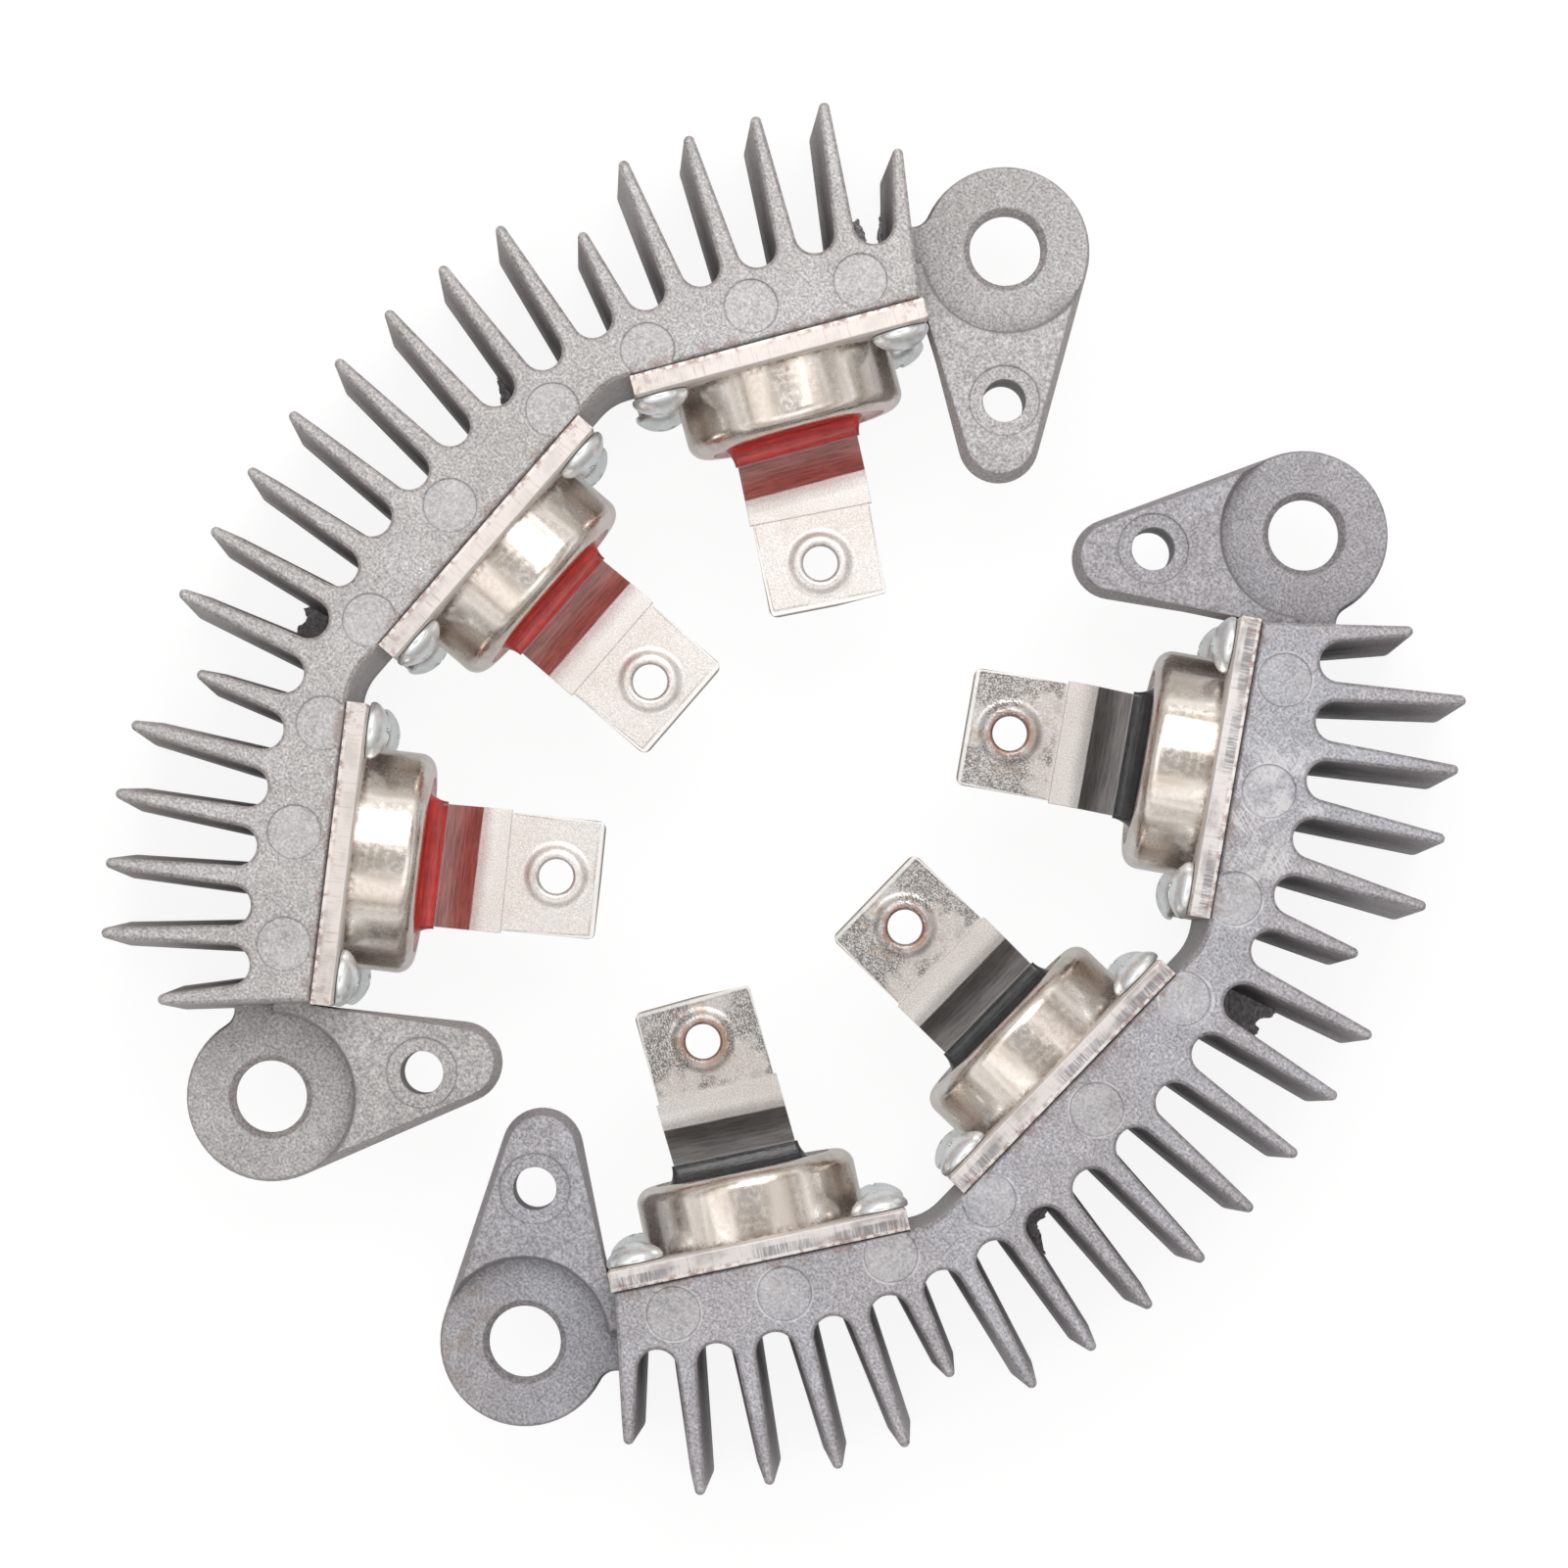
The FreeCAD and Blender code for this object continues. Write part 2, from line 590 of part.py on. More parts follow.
def screw():
    """A pan-head screw with its seat at the origin, pointing into the casting."""
    dome = HEAD_HEIGHT - HEAD_RIM
    sphere = (dome * dome + HEAD_RADIUS * HEAD_RADIUS) / (2 * dome)
    half = math.asin(HEAD_RADIUS / sphere) / 2
    middle = (HEAD_HEIGHT - sphere * (1 - math.cos(half)), sphere * math.sin(half))
    return turned([
        [(-SCREW_LENGTH, 0), (-SCREW_LENGTH, SCREW_RADIUS)],
        [(-SCREW_LENGTH, SCREW_RADIUS), (0, SCREW_RADIUS)],
        [(0, SCREW_RADIUS), (0, HEAD_RADIUS)],
        [(0, HEAD_RADIUS), (HEAD_RIM, HEAD_RADIUS)],
        [(HEAD_RIM, HEAD_RADIUS), middle, (HEAD_HEIGHT, 0)],
        [(HEAD_HEIGHT, 0), (-SCREW_LENGTH, 0)],
    ])


def module_screws():
    single = screw()
    return Part.makeCompound([single.translated(V(PLATE_THICKNESS, a, b)) for a, b in screw_places()])


ALIKE_PIECES = {
    "base_plate": base_plate,
    "diode_can": diode_can,
    "diode_chip": diode_chip,
    "screws": module_screws,
}
STRAP_PIECES = {
    "potting": potting,
    "terminal_strap": terminal_strap,
}


def half_place(sign):
    """The place of a half, which is turned and moved about the middle of its ears' bolt line."""
    bolt_line = FreeCAD.Placement(V(-end_point(LARGE_HOLE_ALONG, LARGE_HOLE_OUT).x, 0, 0), FreeCAD.Rotation())
    facing = FreeCAD.Rotation(UP, HALF_TURN if sign > 0 else 180 - HALF_TURN)
    middle = V(EAR_LINE_GAP / 2, -HALF_SLIDE, 0) * sign
    return FreeCAD.Placement(middle, facing).multiply(bolt_line)


def export(name, shape, place):
    placed = shape.copy()
    placed.Placement = place.multiply(placed.Placement)
    placed.exportStep("parts/" + name + ".step")


def build():
    os.makedirs("parts", exist_ok=True)
    casting = heat_sink()
    alike = {name: make() for name, make in ALIKE_PIECES.items()}
    for half, sign in (("positive", 1), ("negative", -1)):
        place = half_place(sign)
        export(half + "_heat_sink", casting, place)
        for number, angle, along in MODULES:
            swing = STRAP_SWINGS.get((half, number), 0.0)
            own = {name: make(swing) for name, make in STRAP_PIECES.items()}
            for name, shape in {**alike, **own}.items():
                export("%s_%s_%d" % (half, name, number), on_flat(shape, angle, along), place)


build()
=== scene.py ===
import math
import random

import bmesh
import bpy
import numpy as np
from mathutils import Matrix, Vector
from mathutils.geometry import delaunay_2d_cdt


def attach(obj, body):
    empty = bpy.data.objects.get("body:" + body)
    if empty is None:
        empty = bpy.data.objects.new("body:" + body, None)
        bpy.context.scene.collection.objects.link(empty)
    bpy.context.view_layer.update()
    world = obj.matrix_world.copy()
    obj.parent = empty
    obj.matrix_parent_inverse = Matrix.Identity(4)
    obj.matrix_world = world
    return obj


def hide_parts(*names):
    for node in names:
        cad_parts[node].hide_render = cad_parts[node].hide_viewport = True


# Looks of a three-phase bridge rectifier: two finned castings with six diode modules.
# The row frame is in metres. A module's own frame is in millimetres: X out of the casting's flat,
# Y along it and Z up from its middle. Named sizes are in millimetres, unless a comment says otherwise.

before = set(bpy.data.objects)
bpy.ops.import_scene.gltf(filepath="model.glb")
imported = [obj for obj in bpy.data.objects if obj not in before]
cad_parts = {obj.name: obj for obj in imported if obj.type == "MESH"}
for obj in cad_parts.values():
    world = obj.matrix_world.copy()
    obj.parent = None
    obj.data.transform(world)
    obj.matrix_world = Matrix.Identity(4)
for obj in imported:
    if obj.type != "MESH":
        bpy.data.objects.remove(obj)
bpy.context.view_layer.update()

MM = 0.001
HALVES = ("positive", "negative")
MODULES = (1, 2, 3)

# Camera, worked out from the photograph. The places are in metres.
EYE = Vector((-11.5, 17.7, 876.0)) * MM
AIM = Vector((1.05, -2.5, 36.0)) * MM
IMAGE_UP_DEGREES = -47.54        # from the row's X
LENS = 135.9
SENSOR = 36.0

# Terminal strap, in a module's own frame
STRAP_ROOT = 4.3
STRAP_WIDTH = 17.9
STRAP_END_WIDTH = 17.1
STRAP_REACH = 38.5
STRAP_STEP = 24.8
STRAP_SIDE_TIGHTER = 1.8         # the bands painted along the rim, highlight and shade, are this much narrower along the sides than at the end
STRAP_END = 2.5                  # the stretch at its end that its swing is read from
HOLE_REACH = 27.7                # from the root
HOLE_RADIUS = 2.5

# Painted reflection of the potting on the strap's slope, and the bend after it, in a module's own frame
REFLECTION_START = 15.8
REFLECTION_END = 20.4
BEND_END = 22.6

# Casting
PIN_MARK_RADIUS = 3.85
PIN_MARK_DEPTH = 0.25
PIN_MARK_SPAN = 2.2                      # radii, within which points are of one mark
MARK_RIM_RADIUS = PIN_MARK_RADIUS + 0.1  # where the mark's rim runs; on the negative half a painted highlight ring follows it
SAME_HEIGHT = 1e-5                       # metres
FAR_AWAY = 1.0                           # metres, past every mark
SCRATCHED_PLACE = (-6.0, 6.0)            # in the frame of the negative half's third module
SCRATCHED_REACH = (13.0, 8.0)            # none past the first, and all within the second
RUSTED_PLACE = (-0.0160, 0.0880)         # on the negative half's lower ear, in metres in the row frame
RUSTED_REACH = (0.014, 0.004)            # metres
CASTING_TONES = {                        # upper side, walls a little darker as painted shade, and patches on the upper side
    "positive": ((0.52, 0.50, 0.495), (0.52, 0.485, 0.48), (0.56, 0.545, 0.55)),
    "negative": ((0.45, 0.435, 0.46), (0.43, 0.405, 0.42), (0.47, 0.47, 0.51)),
}

# Diode module
CAN_HEIGHT = 9.6
FLAT_HALF_LENGTH = 20.0                  # of the stretch along which the casting is darker beside the plate

# Flash in the roots of the slots, as height and outline in the row frame
FLASH_THICKNESS = 0.8                    # without effect, as flash_mesh says
FLASH_STEP = 0.3                         # along the rim
FLASH_RAGGED = 0.4                       # of a step, the most that a rim point moves
FLASH_UNEVEN = 0.2                       # the most that a point's height moves
FLASH_POINTS = 220                       # inside the outline
FLASH_SEED = 7
FLASH = (
    (4.0, [(70.1, 28.2), (69.9, 27.3), (69.9, 26.3), (70.3, 25.9), (71.2, 25.5), (70.5, 23.7), (68.0, 23.0),
           (66.1, 24.4), (65.8, 27.1), (67.4, 29.2), (69.3, 28.9)]),
    (6.0, [(-74.6, -27.3), (-74.5, -26.2), (-74.0, -25.7), (-73.3, -24.6), (-73.5, -23.9), (-74.2, -23.8),
           (-74.5, -23.3), (-74.5, -22.2), (-71.7, -21.6), (-68.4, -21.6), (-66.7, -23.2), (-66.6, -25.5),
           (-67.7, -26.8), (-71.6, -27.7)]),
    (4.0, [(-69.3, 16.6), (-69.8, 17.8), (-69.6, 19.1), (-69.9, 19.6), (-70.8, 19.9), (-71.7, 20.7),
           (-73.5, 21.7), (-72.9, 23.1), (-69.7, 21.7), (-67.5, 20.6), (-66.8, 18.5), (-67.7, 16.5)]),
    (4.0, [(49.9, -72.3), (49.2, -72.0), (48.0, -71.5), (46.6, -70.6),
           (45.3, -70.1), (45.7, -68.5), (49.2, -69.1), (50.2, -70.8)]),
    (4.0, [(48.1, -75.5), (47.6, -74.3), (46.7, -73.5), (46.2, -72.4), (45.3, -71.6),
           (45.0, -70.6), (43.1, -70.5), (42.4, -73.1), (44.5, -76.3), (46.8, -76.6)]),
    (4.0, [(75.1, -20.0), (73.9, -19.3), (72.8, -18.5), (71.9, -17.8), (71.0, -17.4),
           (70.5, -16.5), (69.0, -16.5), (68.6, -18.8), (70.2, -20.9), (73.3, -21.6)]),
)

# Studio, in metres and watts
FLOOR_HALF_SIZE = 3.0
FLOOR_DROP = 0.0003                      # below the part
FLOOR_COLOUR = (0.82, 0.82, 0.82)
FLOOR_GLOSS = 0.6                        # glow of the floor in reflections
FLOOR_WHITE = 1.07                       # and to the camera, where it leaves the floor white
FLOOR_SHADOW = 0.16                      # share of the plain lit floor, which shows the shadow
KEY_PLACE = (0.25, -0.35, 0.7)
KEY_SIZE = 0.5
KEY_POWER = 2.0
SKY_STOPS = (                            # colour by the height of the direction, from level to zenith
    (0.0, (0.42, 0.40, 0.38)),
    (0.22, (0.30, 0.28, 0.26)),
    (0.45, (0.85, 0.83, 0.81)),
    (0.62, (0.45, 0.42, 0.39)),
    (0.75, (1.15, 1.15, 1.15)),
    (0.89, (1.40, 1.40, 1.40)),
    (0.96, (0.66, 0.63, 0.60)),
    (1.0, (0.50, 0.48, 0.46)),
)

# Screw
SHANK_LENGTH = 8.0
SHANK_RADIUS = 2.0
SHANK_CHAMFER = 0.4
SHANK_SIDES = 24
HEAD_RADIUS = 4.1
HEAD_HEIGHT = 3.0
HEAD_RIM = 0.9
HEAD_RIM_BEVEL = 0.15
HEAD_SEAT_ROUND = ((0.0, 0.25), (0.12, 0.06), (0.3, 0.0))   # height, and how far inside the head's radius
HEAD_STEPS = 12
HEAD_SIDES = 48
RECESS_ARM = 2.3
RECESS_WIDTH = 0.85
RECESS_DEPTH = 1.6
RECESS_FOOT_ARM = 0.7
RECESS_FOOT_WIDTH = 0.35
RECESS_OVERRUN = 0.5                     # of the cutter past the head
SMOOTH_ANGLE = 35                        # degrees
ON_AXIS = 1e-6


# Shader nodes

class Nodes:
    """A node tree and short calls that add nodes to it."""

    def __init__(self, tree):
        self.tree = tree
        self.tree.nodes.clear()

    def put(self, socket, value):
        """Links another socket to this one, or sets its value."""
        if isinstance(value, bpy.types.NodeSocket):
            self.tree.links.new(value, socket)
        elif isinstance(value, (tuple, list)) and len(value) == 3 and socket.type == "RGBA":
            socket.default_value = (*value, 1.0)
        else:
            socket.default_value = value

    def node(self, kind, inputs=None, **settings):
        made = self.tree.nodes.new("ShaderNode" + kind)
        for key, value in settings.items():
            setattr(made, key, value)
        for key, value in (inputs or {}).items():
            self.put(made.inputs[key], value)
        return made

    def split(self, vector):
        return self.node("SeparateXYZ", {"Vector": vector}).outputs

    def scaled(self, vector, x, y, z):
        return self.node("Mapping", {"Vector": vector, "Scale": (x, y, z)}).outputs[0]

    def math(self, operation, a, b=0.0, c=0.0):
        return self.node("Math", {0: a, 1: b, 2: c}, operation=operation).outputs[0]

    def ranged(self, value, low, high, to_low=0.0, to_high=1.0, smooth=True):
        """Maps low..high to to_low..to_high and clamps."""
        return self.node("MapRange", {
            "Value": value, "From Min": low, "From Max": high, "To Min": to_low, "To Max": to_high,
        }, interpolation_type="SMOOTHSTEP" if smooth else "LINEAR").outputs[0]

    def noise(self, vector, scale, detail=2.0, roughness=0.5, distortion=0.0):
        return self.node("TexNoise", {
            "Vector": vector, "Scale": scale, "Detail": detail, "Roughness": roughness,
            "Distortion": distortion,
        }).outputs["Fac"]

    def cells(self, vector, scale):
        return self.node("TexVoronoi", {"Vector": vector, "Scale": scale}).outputs["Distance"]

    def mix(self, factor, a, b, blend="MIX"):
        """Mixes two colours. A Mix node's sockets for colours are inputs 6 and 7 and output 2."""
        made = self.node("Mix", data_type="RGBA", blend_type=blend)
        self.put(made.inputs[0], factor)
        self.put(made.inputs[6], a)
        self.put(made.inputs[7], b)
        return made.outputs[2]

    def shade(self, colour, factor):
        """The colour times a grey factor."""
        grey = self.node("CombineColor", {0: factor, 1: factor, 2: factor}).outputs[0]
        return self.mix(1.0, colour, grey, "MULTIPLY")

    def product(self, *factors):
        result = factors[0]
        for factor in factors[1:]:
            result = self.math("MULTIPLY", result, factor)
        return result


class Paint(Nodes):
    """A material with the Principled shader."""

    def __init__(self, name):
        self.material = bpy.data.materials.new(name)
        self.material.use_nodes = True
        super().__init__(self.material.node_tree)
        self.shader = self.node("BsdfPrincipled")
        self.output = self.node("OutputMaterial", {"Surface": self.shader.outputs[0]})

    def set(self, **values):
        """Sets the shader's own sockets, named with underscores for spaces."""
        for key, value in values.items():
            self.put(self.shader.inputs[key.replace("_", " ")], value)

    def row_place(self):
        return self.node("TexCoord").outputs["Object"]

    def module_place(self, module):
        """Millimetres in the module's own frame."""
        return self.node("Mapping", {
            "Vector": self.row_place(), "Location": module.origin,
            "Rotation": (0.0, 0.0, module.angle), "Scale": (MM, MM, MM),
        }, vector_type="TEXTURE").outputs[0]

    def facing_up(self, low=0.6, high=0.95):
        """0 where the normal's upward part is the low value, and 1 where it is the high one."""
        normal = self.split(self.node("NewGeometry").outputs["Normal"])
        return self.ranged(normal[2], low, high)

    def rounded(self, radius):
        """A normal that rounds the edges of the solids."""
        return self.node("Bevel", {"Radius": radius * MM}, samples=4).outputs[0]

    def edge(self, rounded):
        """1 along the edges, from the rounded normal, and 0 on the flats."""
        made = self.node("VectorMath", {0: rounded, 1: self.node("NewGeometry").outputs["Normal"]},
                         operation="DOT_PRODUCT")
        return self.ranged(made.outputs["Value"], 0.99, 0.86)

    def distance(self, place, point):
        """Plan distance from a fixed point."""
        x, y, _ = self.split(place)
        flat = self.node("CombineXYZ", {0: x, 1: y}).outputs[0]
        made = self.node("VectorMath", {0: flat, 1: (*point[:2], 0.0)}, operation="DISTANCE")
        return made.outputs["Value"]

    def bump(self, height, strength, distance, normal=None):
        inputs = {"Height": height, "Strength": strength, "Distance": distance * MM}
        if normal is not None:
            inputs["Normal"] = normal
        return self.node("Bump", inputs).outputs[0]

    def corner_shade(self, reach, samples=4):
        """Ambient occlusion for painted shade: 1 in the open and 0 deep in a corner."""
        return self.node("AmbientOcclusion", {"Distance": reach * MM}, samples=samples).outputs["AO"]


# Places of the modules, read from the solids

class Module:
    """A module's frame, worked out from its base plate."""

    def __init__(self, half, number):
        self.half, self.number = half, number
        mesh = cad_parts[f"{half}_base_plate_{number}"].data
        points = np.array([v.co for v in mesh.vertices])
        middle = (points.min(0) + points.max(0)) / 2
        _, ways = np.linalg.eigh(np.cov((points - points.mean(0)).T))
        out = Vector(ways[:, 0])               # the plate is thinnest this way
        out.z = 0
        out.normalize()
        if out.dot(Vector(middle)) > 0:        # it looks inward, to the middle of the row
            out = -out
        depth = (points - middle) @ np.array(out)
        self.out = out
        self.along = Vector((0, 0, 1)).cross(out)
        self.origin = Vector(middle) + out * float(depth.min())
        self.thickness = float(depth.max() - depth.min()) / MM
        self.angle = math.atan2(out.y, out.x)
        self.swing = self.strap_swing()

    def strap_swing(self):
        """How far the strap stands askew in plan, in radians, from the middle of its end."""
        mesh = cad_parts[f"{self.half}_terminal_strap_{self.number}"].data
        points = np.array([v.co for v in mesh.vertices]) - np.array(self.origin)
        x, y = points @ np.array(self.out) / MM, points @ np.array(self.along) / MM
        end = x > x.max() - STRAP_END
        return math.atan2((y[end].max() + y[end].min()) / 2, x.max() - STRAP_ROOT)

    def hole(self):
        """The terminal hole's centre in the module's own frame."""
        return STRAP_ROOT + HOLE_REACH * math.cos(self.swing), HOLE_REACH * math.sin(self.swing)


modules = {(half, number): Module(half, number) for half in HALVES for number in MODULES}


# Materials

def pin_marks(half):
    """Centres of the ejector pin marks in the casting's upper side."""
    points = np.array([v.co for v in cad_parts[f"{half}_heat_sink"].data.vertices])
    height = points[:, 2].max() - PIN_MARK_DEPTH * MM
    floor = points[np.abs(points[:, 2] - height) < SAME_HEIGHT]
    centres = []
    while len(floor):
        near = np.linalg.norm(floor - floor[0], axis=1) < PIN_MARK_SPAN * PIN_MARK_RADIUS * MM
        centres.append((floor[near].min(0) + floor[near].max(0)) / 2)
        floor = floor[~near]
    return centres


def nearest_mark(p, where, half):
    """Distance to the centre of the nearest pin mark."""
    nearest = FAR_AWAY
    for centre in pin_marks(half):
        nearest = p.math("MINIMUM", p.distance(where, centre), nearest)
    return nearest


def scratch_lines(p, where, turn, scale):
    """Sparse fine lines, a few millimetres long."""
    turned = p.node("Mapping", {"Vector": where, "Rotation": (0.0, 0.0, turn)}).outputs[0]
    lines = p.noise(p.scaled(turned, 110, 1500, 500), scale, 2.0, 0.4)
    return p.ranged(p.math("ABSOLUTE", p.math("SUBTRACT", lines, 0.5)), 0.07, 0.03)


def cast_aluminium(half):
    p = Paint(f"cast_aluminium_{half}")
    top_tone, shaded_wall_tone, cool_tone = CASTING_TONES[half]
    where = p.row_place()
    z = p.split(where)[2]
    grain = p.noise(where, 2500, 3.0, 0.7)
    fine = p.noise(where, 6500, 2.0, 0.6)
    specks = p.cells(where, 1500)
    cloud = p.noise(where, 36, 3.0, 0.55)
    patch = p.noise(where, 150, 4.0, 0.62)
    top = p.facing_up()
    rounded = p.rounded(0.45)
    edge = p.edge(rounded)
    # Painted shade: the walls take a darker tone than the upper side.
    colour = p.mix(top, shaded_wall_tone, top_tone)
    colour = p.mix(p.product(top, p.ranged(cloud, 0.44, 0.66)), colour, cool_tone)
    # Painted shade: darker lower down, towards the roots of the slots.
    colour = p.shade(colour, p.ranged(z, 0.018, 0.034, 0.86, 1.0))
    colour = p.shade(colour, p.ranged(grain, 0.32, 0.68, 0.6, 1.3))
    colour = p.shade(colour, p.ranged(p.noise(where, 1100, 2.0, 0.6), 0.35, 0.65, 0.92, 1.08))
    colour = p.shade(colour, p.ranged(specks, 0.05, 0.28, 1.3, 1.0))
    colour = p.shade(colour, p.ranged(patch, 0.3, 0.7, 0.9, 1.06))
    nearest = nearest_mark(p, where, half)
    marks = p.product(p.ranged(nearest, MARK_RIM_RADIUS * MM, (PIN_MARK_RADIUS - 0.3) * MM),
                      p.ranged(patch, 0.35, 0.6, 0.35, 1.0))
    colour = p.mix(p.math("MULTIPLY", marks, 0.45), colour, (0.60, 0.59, 0.60))
    # On the negative half, a painted highlight: a thin light ring along each pin mark's rim.
    if half == "negative":
        off_rim = p.math("ABSOLUTE", p.math("SUBTRACT", nearest, MARK_RIM_RADIUS * MM))
        rim = p.product(top, p.ranged(off_rim, 0.28 * MM, 0.08 * MM), p.ranged(patch, 0.4, 0.55))
        colour = p.mix(p.math("MULTIPLY", rim, 0.6), colour, (0.80, 0.79, 0.82))
    smudge = p.product(top, p.ranged(p.noise(where, 75, 5.0, 0.7), 0.62, 0.74))
    colour = p.mix(p.math("MULTIPLY", smudge, 0.35), colour, (0.22, 0.16, 0.13))
    colour = darker_beside_plates(p, half, where, top, colour)
    sparse = p.ranged(p.noise(where, 260, 2.0, 0.5), 0.58, 0.66, 0.0, 0.4)
    scratches = p.product(top, sparse, scratch_lines(p, where, 0.9, 1.0))
    if half == "negative":
        module = modules[half, 3]
        near = p.ranged(p.distance(p.module_place(module), SCRATCHED_PLACE), *SCRATCHED_REACH)
        one_way, other_way = scratch_lines(p, where, 0.35, 1.0), scratch_lines(p, where, 1.3, 0.8)
        some = p.ranged(p.noise(where, 300, 2.0, 0.5), 0.46, 0.56)
        crossed = p.product(top, near, some, p.math("MAXIMUM", one_way, other_way))
        scratches = p.math("MAXIMUM", scratches, crossed)
        rust = p.product(p.ranged(p.distance(where, RUSTED_PLACE), *RUSTED_REACH),
                         p.ranged(p.noise(where, 420, 4.0, 0.7), 0.44, 0.6))
        colour = p.mix(p.math("MULTIPLY", rust, 0.35), colour, (0.30, 0.23, 0.17))
    colour = p.mix(p.math("MULTIPLY", scratches, 0.5), colour, (0.78, 0.77, 0.78))
    # Lighter edges in patches: painted highlight along the bevels, and wear.
    colour = p.mix(p.product(edge, p.ranged(patch, 0.35, 0.6), 0.4), colour, (0.66, 0.65, 0.66))
    # Painted shade in slots and corners.
    colour = p.shade(colour, p.ranged(p.corner_shade(7.0, 8), 0.2, 0.75, 0.5, 1.0))
    normal = p.bump(grain, 0.4, 0.14, p.bump(fine, 0.3, 0.05, rounded))
    p.set(Base_Color=colour, Metallic=0.45, Normal=normal)
    p.set(Roughness=p.ranged(patch, 0.3, 0.7, 0.44, 0.6))
    return p.material


def darker_beside_plates(p, half, where, top, colour):
    """A brown darkening in patches on the casting's upper side, along the upper edge of each flat."""
    strip = 0.0
    for number in MODULES:
        x, y, _ = p.split(p.module_place(modules[half, number]))
        along = p.ranged(p.math("ABSOLUTE", y), FLAT_HALF_LENGTH + 3.0, FLAT_HALF_LENGTH)
        beside = p.product(p.ranged(x, -2.2, -0.3), along)
        strip = p.math("MAXIMUM", strip, beside)
    fine = p.noise(where, 330, 4.0, 0.7)
    strip = p.product(top, strip, p.ranged(fine, 0.47, 0.6))
    return p.mix(p.math("MULTIPLY", strip, 0.6), colour, (0.24, 0.13, 0.09))


def plate_nickel(module):
    p = Paint(f"plate_nickel_{module.half}_{module.number}")
    where = p.module_place(module)
    x, y, _ = p.split(where)
    top = p.facing_up(0.5, 0.9)
    rounded = p.rounded(0.3)
    edge = p.edge(rounded)
    lines = p.noise(p.scaled(where, 0.22, 2.8, 1.0), 1.0, 4.0, 0.7)
    broad = p.noise(p.scaled(where, 0.3, 0.16, 0.1), 1.0, 3.0, 0.6)
    dark_patch_share = 0.2 if module.half == "positive" else 0.6
    light = (0.80, 0.735, 0.70) if module.half == "positive" else (0.80, 0.76, 0.75)
    cut = p.mix(p.ranged(lines, 0.46, 0.34, 0.0, 0.45), light, (0.45, 0.38, 0.34))
    cut = p.mix(p.ranged(broad, 0.48, 0.64, 0.0, dark_patch_share), cut, (0.42, 0.39, 0.38))
    if module.half == "negative":
        sheared = p.product(p.ranged(x, 0.3, 0.5), p.ranged(x, 2.0, 1.7), p.ranged(lines, 0.62, 0.42))
        patches = p.noise(p.scaled(where, 0.1, 0.09, 0.1), 1.0, 2.0, 0.5)
        sheared = p.product(sheared, p.ranged(patches, 0.42, 0.5))
        cut = p.mix(p.math("MULTIPLY", sheared, 0.85), cut, (0.28, 0.27, 0.29))
    # Painted highlight: a bright band along each side of the cut edge, on its bevels.
    side_band = p.ranged(p.math("ABSOLUTE", p.math("SUBTRACT", x, module.thickness / 2)), 1.0, 1.25)
    cut = p.mix(p.math("MULTIPLY", side_band, 0.6), cut, (0.95, 0.90, 0.86))
    colour = p.mix(top, (0.78, 0.73, 0.69), cut)
    spots = p.noise(where, 0.9, 4.0, 0.7)
    # Brown patches in spots along the plate's back edge beside the flat, and towards its ends.
    near_flat = p.ranged(x, 0.1, 1.1, 1.0, 0.0)
    near_ends = p.product(p.ranged(p.math("ABSOLUTE", y), 16.0, 21.0), p.ranged(spots, 0.5, 0.62))
    near_flat = p.product(near_flat, p.ranged(spots, 0.46, 0.6))
    brown_patches = p.math("MAXIMUM", near_flat, p.product(near_ends, 0.6))
    colour = p.mix(p.math("MULTIPLY", brown_patches, 0.75), colour, (0.30, 0.15, 0.12))
    # Lighter edges: painted highlight along the bevels, and wear.
    colour = p.mix(p.math("MULTIPLY", edge, 0.35), colour, (0.95, 0.91, 0.88))
    # Painted shade in corners, such as where the plate meets the casting.
    colour = p.shade(colour, p.ranged(p.corner_shade(3.0), 0.1, 0.8, 0.5, 1.0))
    normal = p.bump(lines, 0.3, 0.08, rounded)
    p.set(Base_Color=colour, Metallic=0.75, Roughness=p.ranged(broad, 0.3, 0.7, 0.5, 0.36), Normal=normal)
    return p.material


def can_nickel(module):
    p = Paint(f"can_nickel_{module.half}_{module.number}")
    where = p.module_place(module)
    x = p.split(where)[0]
    cloud = p.noise(p.scaled(where, 0.07, 0.22, 0.22), 1.0, 3.0, 0.5)
    wear = p.noise(where, 1.3, 4.0, 0.7)
    speck = p.noise(where, 5.0, 3.0, 0.6)
    colour = p.mix(p.ranged(cloud, 0.38, 0.66), (0.90, 0.85, 0.80), (0.70, 0.62, 0.55))
    face_place = module.thickness + CAN_HEIGHT
    # Painted reflection: the positive half's can face is tinted pink by the red potting; the negative half's
    # face gets a plain tone.
    front = p.ranged(x, face_place - 0.5, face_place - 0.1)
    face = (0.88, 0.66, 0.62) if module.half == "positive" else (0.74, 0.68, 0.64)
    colour = p.mix(p.math("MULTIPLY", front, 0.6), colour, face)
    base = p.ranged(x, module.thickness, module.thickness + 1.3, 1.0, 0.0)
    colour = p.mix(p.product(base, p.ranged(wear, 0.4, 0.62), 0.7), colour, (0.22, 0.14, 0.10))
    colour = p.mix(p.product(p.ranged(speck, 0.62, 0.7), 0.3), colour, (0.30, 0.25, 0.21))
    drawn = p.noise(p.scaled(where, 0.05, 1.6, 1.6), 1.0, 2.0, 0.5)
    ripple = p.noise(p.scaled(where, 0.05, 0.35, 0.35), 1.0, 1.0, 0.4)
    normal = p.bump(ripple, 0.35, 0.45, p.bump(drawn, 0.2, 0.03))
    p.set(Base_Color=colour, Metallic=1.0, Roughness=p.ranged(wear, 0.3, 0.75, 0.16, 0.34), Normal=normal)
    return p.material


